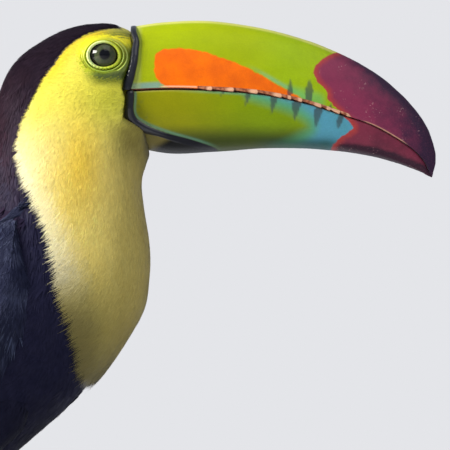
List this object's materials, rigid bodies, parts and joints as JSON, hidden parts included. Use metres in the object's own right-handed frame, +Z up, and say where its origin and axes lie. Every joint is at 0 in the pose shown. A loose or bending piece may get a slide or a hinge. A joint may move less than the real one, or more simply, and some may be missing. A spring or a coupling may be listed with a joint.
{
  "type": "keel-billed toucan",
  "caption": "Keel-billed toucan with a large curved bill, yellow throat and black body, gripping a cut branch on a round display stand.",
  "frame": {"origin": "centre of the stand's underside, on the floor", "axes": "+X forward, the way the bill points; +Y to the bird's left, along the perch; +Z up"},
  "size_m": [0.3164, 0.2, 0.4163],
  "materials": {
    "bill": "satin horn, green with an orange blaze, blue below and a maroon tip",
    "yellow_plumage": "soft short feathers",
    "black_plumage": "soft feathers with a faint sheen",
    "eye": "wet gloss",
    "scaled_skin": "blue-grey scutes",
    "claw": "polished horn",
    "bark": "rough bark",
    "steel": "brushed",
    "stand_wood": "oiled dark wood"
  },
  "bodies": {
    "root": {"upper_bill": "bill", "lower_bill": "bill", "head": "yellow_plumage", "neck": "yellow_plumage", "trunk": "black_plumage", "rump": "black_plumage", "tail": "black_plumage", "eye_left": "eye", "wing_left": "black_plumage", "thigh_left": "black_plumage", "shank_left": "scaled_skin", "toe_inner_front_left": "scaled_skin", "claw_inner_front_left": "claw", "toe_outer_front_left": "scaled_skin", "claw_outer_front_left": "claw", "toe_inner_back_left": "scaled_skin", "claw_inner_back_left": "claw", "toe_outer_back_left": "scaled_skin", "claw_outer_back_left": "claw", "eye_right": "eye", "wing_right": "black_plumage", "thigh_right": "black_plumage", "shank_right": "scaled_skin", "toe_inner_front_right": "scaled_skin", "claw_inner_front_right": "claw", "toe_outer_front_right": "scaled_skin", "claw_outer_front_right": "claw", "toe_inner_back_right": "scaled_skin", "claw_inner_back_right": "claw", "toe_outer_back_right": "scaled_skin", "claw_outer_back_right": "claw", "perch": "bark", "stand_rod": "steel", "stand_ferrule": "steel", "stand_base": "stand_wood"}
  },
  "joints": []
}
